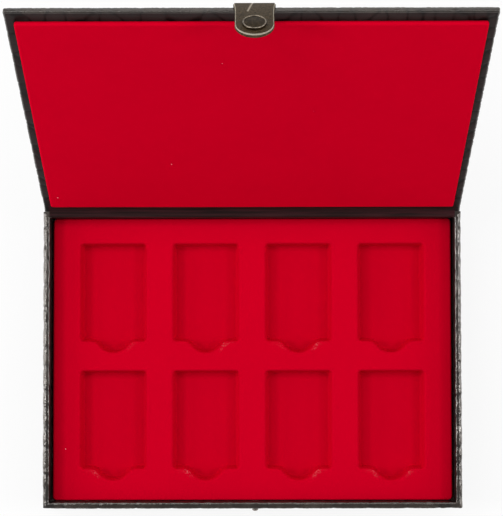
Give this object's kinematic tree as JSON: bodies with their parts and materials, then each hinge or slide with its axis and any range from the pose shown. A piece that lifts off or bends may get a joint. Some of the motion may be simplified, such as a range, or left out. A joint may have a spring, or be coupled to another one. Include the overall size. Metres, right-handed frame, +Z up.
{
  "type": "lighter display case",
  "caption": "Shallow rectangular display case with a hinged lid, a strap with a press stud, and a flocked tray whose notched pockets each hold one lighter.",
  "frame": {"origin": "centre of the base's underside, on the surface that the case lies on", "axes": "+Z up; +Y from the front wall to the hinge, towards the open lid; +X to the right, along the hinge"},
  "size_m": [0.254, 0.2792, 0.2138],
  "materials": {
    "leatherette": "black crocodile-embossed leatherette, satin",
    "strap_leatherette": "olive brown leatherette with pale cut edges",
    "fibreboard": "thin grey-brown compressed fibreboard, hidden under the leatherette",
    "card": "grey card, hidden under the velvet",
    "black_paper": "matt black lining paper",
    "red_flock": "thermoformed sheet with a short red flock",
    "red_velvet": "red velvet with a short pile",
    "antique_bronze": "dark antiqued bronze, brushed to a brighter edge",
    "bright_nickel": "nickel-plated brass"
  },
  "bodies": {
    "base": {"underside_sheet": "black_paper", "bottom_board": "fibreboard", "front_wall_board": "fibreboard", "rear_wall_board": "fibreboard", "left_wall_board": "fibreboard", "right_wall_board": "fibreboard", "base_cover": "leatherette", "hinge_strip_base_leaf": "leatherette", "flocked_tray": "red_flock", "snap_stud": "bright_nickel", "stud_rivet": "bright_nickel"},
    "lid": {"lid_board": "fibreboard", "lid_cover": "leatherette", "hinge_strip_lid_leaf": "leatherette", "lining_card": "card", "lining_velvet": "red_velvet", "strap_anchor": "strap_leatherette"},
    "strap": {"strap_outer_ply": "strap_leatherette", "strap_inner_ply": "strap_leatherette", "snap_cap": "antique_bronze", "snap_socket": "bright_nickel"}
  },
  "joints": [
    {"name": "lid_hinge", "type": "hinge", "parent": "base", "child": "lid", "pos_m": [0, 0.09, 0.03415], "axis": [1, 0, 0], "range_deg": [0, 120.3]},
    {"name": "strap_fold", "type": "hinge", "parent": "lid", "child": "strap", "pos_m": [0, 0.18506, 0.18662], "axis": [1, 0, 0], "range_deg": [-70, 9.1], "stiffness_Nm_per_rad": 0.01}
  ]
}
